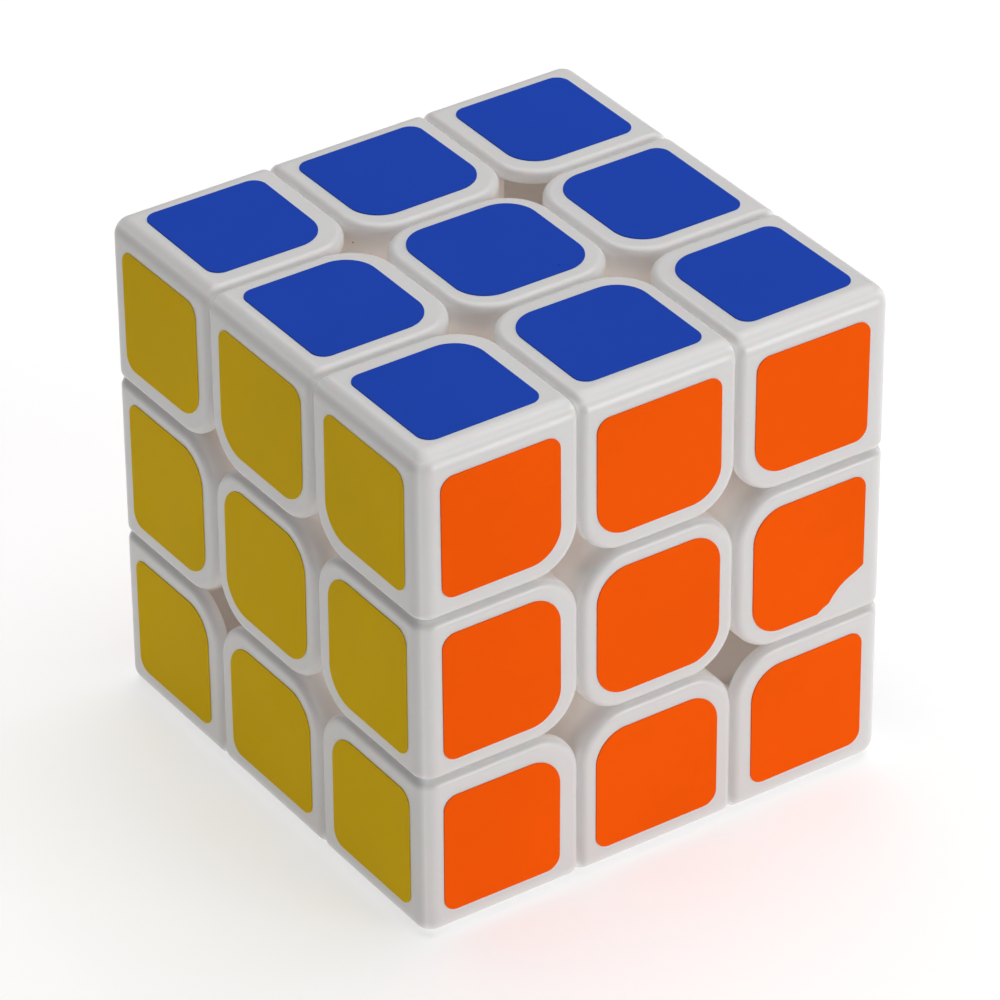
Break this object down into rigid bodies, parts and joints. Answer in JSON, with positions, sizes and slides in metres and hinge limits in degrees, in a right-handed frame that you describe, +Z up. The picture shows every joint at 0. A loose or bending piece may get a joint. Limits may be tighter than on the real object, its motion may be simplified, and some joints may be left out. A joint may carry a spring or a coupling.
{
  "type": "twisty puzzle cube",
  "caption": "Cube puzzle of turning layers: hollow corner and edge pieces hooked under sprung centres that are screwed to a six-armed core.",
  "frame": {"origin": "middle of the flat bottom face that the cube stands on", "axes": "+Z up through the up face, -Y out of the front face, +X out of the right face"},
  "size_m": [0.057, 0.057, 0.057],
  "materials": {
    "white_shell": "glossy moulded ABS with soft round rims",
    "white_inner": "moulded plastic, slightly dull with wear and lubricant",
    "core_plastic": "moulded nylon",
    "screw_steel": "zinc plated",
    "spring_steel": "drawn spring wire",
    "sticker_blue": "satin vinyl film",
    "sticker_green": "satin vinyl film",
    "sticker_orange": "satin vinyl film",
    "sticker_red": "satin vinyl film",
    "sticker_yellow": "satin vinyl film",
    "sticker_black": "satin vinyl film"
  },
  "bodies": {
    "core": {"core": "core_plastic", "screws": "screw_steel"},
    "right_turner": {"right_spring": "spring_steel"},
    "right_centre": {"right_centre_base": "white_inner", "right_centre_cap": "white_shell"},
    "left_turner": {"left_spring": "spring_steel"},
    "left_centre": {"left_centre_base": "white_inner", "left_centre_cap": "white_shell"},
    "front_turner": {"front_spring": "spring_steel"},
    "front_centre": {"front_centre_base": "white_inner", "front_centre_cap": "white_shell"},
    "back_turner": {"back_spring": "spring_steel"},
    "back_centre": {"back_centre_base": "white_inner", "back_centre_cap": "white_shell"},
    "up_turner": {"up_spring": "spring_steel"},
    "up_centre": {"up_centre_base": "white_inner", "up_centre_cap": "white_shell"},
    "down_turner": {"down_spring": "spring_steel"},
    "down_centre": {"down_centre_base": "white_inner", "down_centre_cap": "white_shell"},
    "front_left_edge": {"front_left_edge_shell": "white_shell", "front_left_edge_foot": "white_inner"},
    "down_left_edge": {"down_left_edge_shell": "white_shell", "down_left_edge_foot": "white_inner"},
    "up_left_edge": {"up_left_edge_shell": "white_shell", "up_left_edge_foot": "white_inner"},
    "back_left_edge": {"back_left_edge_shell": "white_shell", "back_left_edge_foot": "white_inner"},
    "down_front_edge": {"down_front_edge_shell": "white_shell", "down_front_edge_foot": "white_inner"},
    "up_front_edge": {"up_front_edge_shell": "white_shell", "up_front_edge_foot": "white_inner"},
    "down_back_edge": {"down_back_edge_shell": "white_shell", "down_back_edge_foot": "white_inner"},
    "up_back_edge": {"up_back_edge_shell": "white_shell", "up_back_edge_foot": "white_inner"},
    "front_right_edge": {"front_right_edge_shell": "white_shell", "front_right_edge_foot": "white_inner"},
    "down_right_edge": {"down_right_edge_shell": "white_shell", "down_right_edge_foot": "white_inner"},
    "up_right_edge": {"up_right_edge_shell": "white_shell", "up_right_edge_foot": "white_inner"},
    "back_right_edge": {"back_right_edge_shell": "white_shell", "back_right_edge_foot": "white_inner"},
    "down_front_left_corner": {"down_front_left_corner_shell": "white_shell", "down_front_left_corner_foot": "white_inner"},
    "up_front_left_corner": {"up_front_left_corner_shell": "white_shell", "up_front_left_corner_foot": "white_inner"},
    "down_back_left_corner": {"down_back_left_corner_shell": "white_shell", "down_back_left_corner_foot": "white_inner"},
    "up_back_left_corner": {"up_back_left_corner_shell": "white_shell", "up_back_left_corner_foot": "white_inner"},
    "down_front_right_corner": {"down_front_right_corner_shell": "white_shell", "down_front_right_corner_foot": "white_inner"},
    "up_front_right_corner": {"up_front_right_corner_shell": "white_shell", "up_front_right_corner_foot": "white_inner"},
    "down_back_right_corner": {"down_back_right_corner_shell": "white_shell", "down_back_right_corner_foot": "white_inner"},
    "up_back_right_corner": {"up_back_right_corner_shell": "white_shell", "up_back_right_corner_foot": "white_inner"}
  },
  "joints": [
    {"name": "right_turn", "type": "hinge", "parent": "core", "child": "right_turner", "pos_m": [0, 0, 0.0285], "axis": [1, 0, 0], "continuous": true},
    {"name": "right_centre_lift", "type": "slide", "parent": "right_turner", "child": "right_centre", "axis": [1, 0, 0], "range_m": [0, 0.0006], "stiffness_N_per_m": 600, "deforming": ["right_spring"]},
    {"name": "left_turn", "type": "hinge", "parent": "core", "child": "left_turner", "pos_m": [0, 0, 0.0285], "axis": [-1, 0, 0], "continuous": true},
    {"name": "left_centre_lift", "type": "slide", "parent": "left_turner", "child": "left_centre", "axis": [-1, 0, 0], "range_m": [0, 0.0006], "stiffness_N_per_m": 600, "deforming": ["left_spring"]},
    {"name": "front_turn", "type": "hinge", "parent": "core", "child": "front_turner", "pos_m": [0, 0, 0.0285], "axis": [0, -1, 0], "continuous": true},
    {"name": "front_centre_lift", "type": "slide", "parent": "front_turner", "child": "front_centre", "axis": [0, -1, 0], "range_m": [0, 0.0006], "stiffness_N_per_m": 600, "deforming": ["front_spring"]},
    {"name": "back_turn", "type": "hinge", "parent": "core", "child": "back_turner", "pos_m": [0, 0, 0.0285], "axis": [0, 1, 0], "continuous": true},
    {"name": "back_centre_lift", "type": "slide", "parent": "back_turner", "child": "back_centre", "axis": [0, 1, 0], "range_m": [0, 0.0006], "stiffness_N_per_m": 600, "deforming": ["back_spring"]},
    {"name": "up_turn", "type": "hinge", "parent": "core", "child": "up_turner", "pos_m": [0, 0, 0.0285], "axis": [0, 0, 1], "continuous": true},
    {"name": "up_centre_lift", "type": "slide", "parent": "up_turner", "child": "up_centre", "axis": [0, 0, 1], "range_m": [0, 0.0006], "stiffness_N_per_m": 600, "deforming": ["up_spring"]},
    {"name": "down_turn", "type": "hinge", "parent": "core", "child": "down_turner", "pos_m": [0, 0, 0.0285], "axis": [0, 0, -1], "continuous": true},
    {"name": "down_centre_lift", "type": "slide", "parent": "down_turner", "child": "down_centre", "axis": [0, 0, -1], "range_m": [0, 0.0006], "stiffness_N_per_m": 600, "deforming": ["down_spring"]},
    {"name": "front_left_edge_turn", "type": "hinge", "parent": "left_turner", "child": "front_left_edge", "pos_m": [0, 0, 0.0285], "axis": [0, -1, 0], "continuous": true},
    {"name": "down_left_edge_turn", "type": "hinge", "parent": "down_turner", "child": "down_left_edge", "pos_m": [0, 0, 0.0285], "axis": [-1, 0, 0], "continuous": true},
    {"name": "up_left_edge_turn", "type": "hinge", "parent": "up_turner", "child": "up_left_edge", "pos_m": [0, 0, 0.0285], "axis": [-1, 0, 0], "continuous": true},
    {"name": "back_left_edge_turn", "type": "hinge", "parent": "left_turner", "child": "back_left_edge", "pos_m": [0, 0, 0.0285], "axis": [0, 1, 0], "continuous": true},
    {"name": "down_front_edge_turn", "type": "hinge", "parent": "front_turner", "child": "down_front_edge", "pos_m": [0, 0, 0.0285], "axis": [0, 0, -1], "continuous": true},
    {"name": "up_front_edge_turn", "type": "hinge", "parent": "front_turner", "child": "up_front_edge", "pos_m": [0, 0, 0.0285], "axis": [0, 0, 1], "continuous": true},
    {"name": "down_back_edge_turn", "type": "hinge", "parent": "back_turner", "child": "down_back_edge", "pos_m": [0, 0, 0.0285], "axis": [0, 0, -1], "continuous": true},
    {"name": "up_back_edge_turn", "type": "hinge", "parent": "back_turner", "child": "up_back_edge", "pos_m": [0, 0, 0.0285], "axis": [0, 0, 1], "continuous": true},
    {"name": "front_right_edge_turn", "type": "hinge", "parent": "right_turner", "child": "front_right_edge", "pos_m": [0, 0, 0.0285], "axis": [0, -1, 0], "continuous": true},
    {"name": "down_right_edge_turn", "type": "hinge", "parent": "down_turner", "child": "down_right_edge", "pos_m": [0, 0, 0.0285], "axis": [1, 0, 0], "continuous": true},
    {"name": "up_right_edge_turn", "type": "hinge", "parent": "up_turner", "child": "up_right_edge", "pos_m": [0, 0, 0.0285], "axis": [1, 0, 0], "continuous": true},
    {"name": "back_right_edge_turn", "type": "hinge", "parent": "right_turner", "child": "back_right_edge", "pos_m": [0, 0, 0.0285], "axis": [0, 1, 0], "continuous": true},
    {"name": "down_front_left_corner_turn", "type": "hinge", "parent": "front_left_edge", "child": "down_front_left_corner", "pos_m": [0, 0, 0.0285], "axis": [0, 0, -1], "continuous": true},
    {"name": "up_front_left_corner_turn", "type": "hinge", "parent": "front_left_edge", "child": "up_front_left_corner", "pos_m": [0, 0, 0.0285], "axis": [0, 0, 1], "continuous": true},
    {"name": "down_back_left_corner_turn", "type": "hinge", "parent": "back_left_edge", "child": "down_back_left_corner", "pos_m": [0, 0, 0.0285], "axis": [0, 0, -1], "continuous": true},
    {"name": "up_back_left_corner_turn", "type": "hinge", "parent": "up_left_edge", "child": "up_back_left_corner", "pos_m": [0, 0, 0.0285], "axis": [0, 1, 0], "continuous": true},
    {"name": "down_front_right_corner_turn", "type": "hinge", "parent": "down_front_edge", "child": "down_front_right_corner", "pos_m": [0, 0, 0.0285], "axis": [1, 0, 0], "continuous": true},
    {"name": "up_front_right_corner_turn", "type": "hinge", "parent": "front_right_edge", "child": "up_front_right_corner", "pos_m": [0, 0, 0.0285], "axis": [0, 0, 1], "continuous": true},
    {"name": "down_back_right_corner_turn", "type": "hinge", "parent": "down_right_edge", "child": "down_back_right_corner", "pos_m": [0, 0, 0.0285], "axis": [0, 1, 0], "continuous": true},
    {"name": "up_back_right_corner_turn", "type": "hinge", "parent": "up_back_edge", "child": "up_back_right_corner", "pos_m": [0, 0, 0.0285], "axis": [1, 0, 0], "continuous": true}
  ],
  "couplings": [
    {"joint": "front_left_edge_turn", "follows": "front_turn", "ratio": 1},
    {"joint": "down_left_edge_turn", "follows": "left_turn", "ratio": 1},
    {"joint": "up_left_edge_turn", "follows": "left_turn", "ratio": 1},
    {"joint": "back_left_edge_turn", "follows": "back_turn", "ratio": 1},
    {"joint": "down_front_edge_turn", "follows": "down_turn", "ratio": 1},
    {"joint": "up_front_edge_turn", "follows": "up_turn", "ratio": 1},
    {"joint": "down_back_edge_turn", "follows": "down_turn", "ratio": 1},
    {"joint": "up_back_edge_turn", "follows": "up_turn", "ratio": 1},
    {"joint": "front_right_edge_turn", "follows": "front_turn", "ratio": 1},
    {"joint": "down_right_edge_turn", "follows": "right_turn", "ratio": 1},
    {"joint": "up_right_edge_turn", "follows": "right_turn", "ratio": 1},
    {"joint": "back_right_edge_turn", "follows": "back_turn", "ratio": 1},
    {"joint": "down_front_left_corner_turn", "follows": "down_turn", "ratio": 1},
    {"joint": "up_front_left_corner_turn", "follows": "up_turn", "ratio": 1},
    {"joint": "down_back_left_corner_turn", "follows": "down_turn", "ratio": 1},
    {"joint": "up_back_left_corner_turn", "follows": "back_turn", "ratio": 1},
    {"joint": "down_front_right_corner_turn", "follows": "right_turn", "ratio": 1},
    {"joint": "up_front_right_corner_turn", "follows": "up_turn", "ratio": 1},
    {"joint": "down_back_right_corner_turn", "follows": "back_turn", "ratio": 1},
    {"joint": "up_back_right_corner_turn", "follows": "right_turn", "ratio": 1}
  ]
}
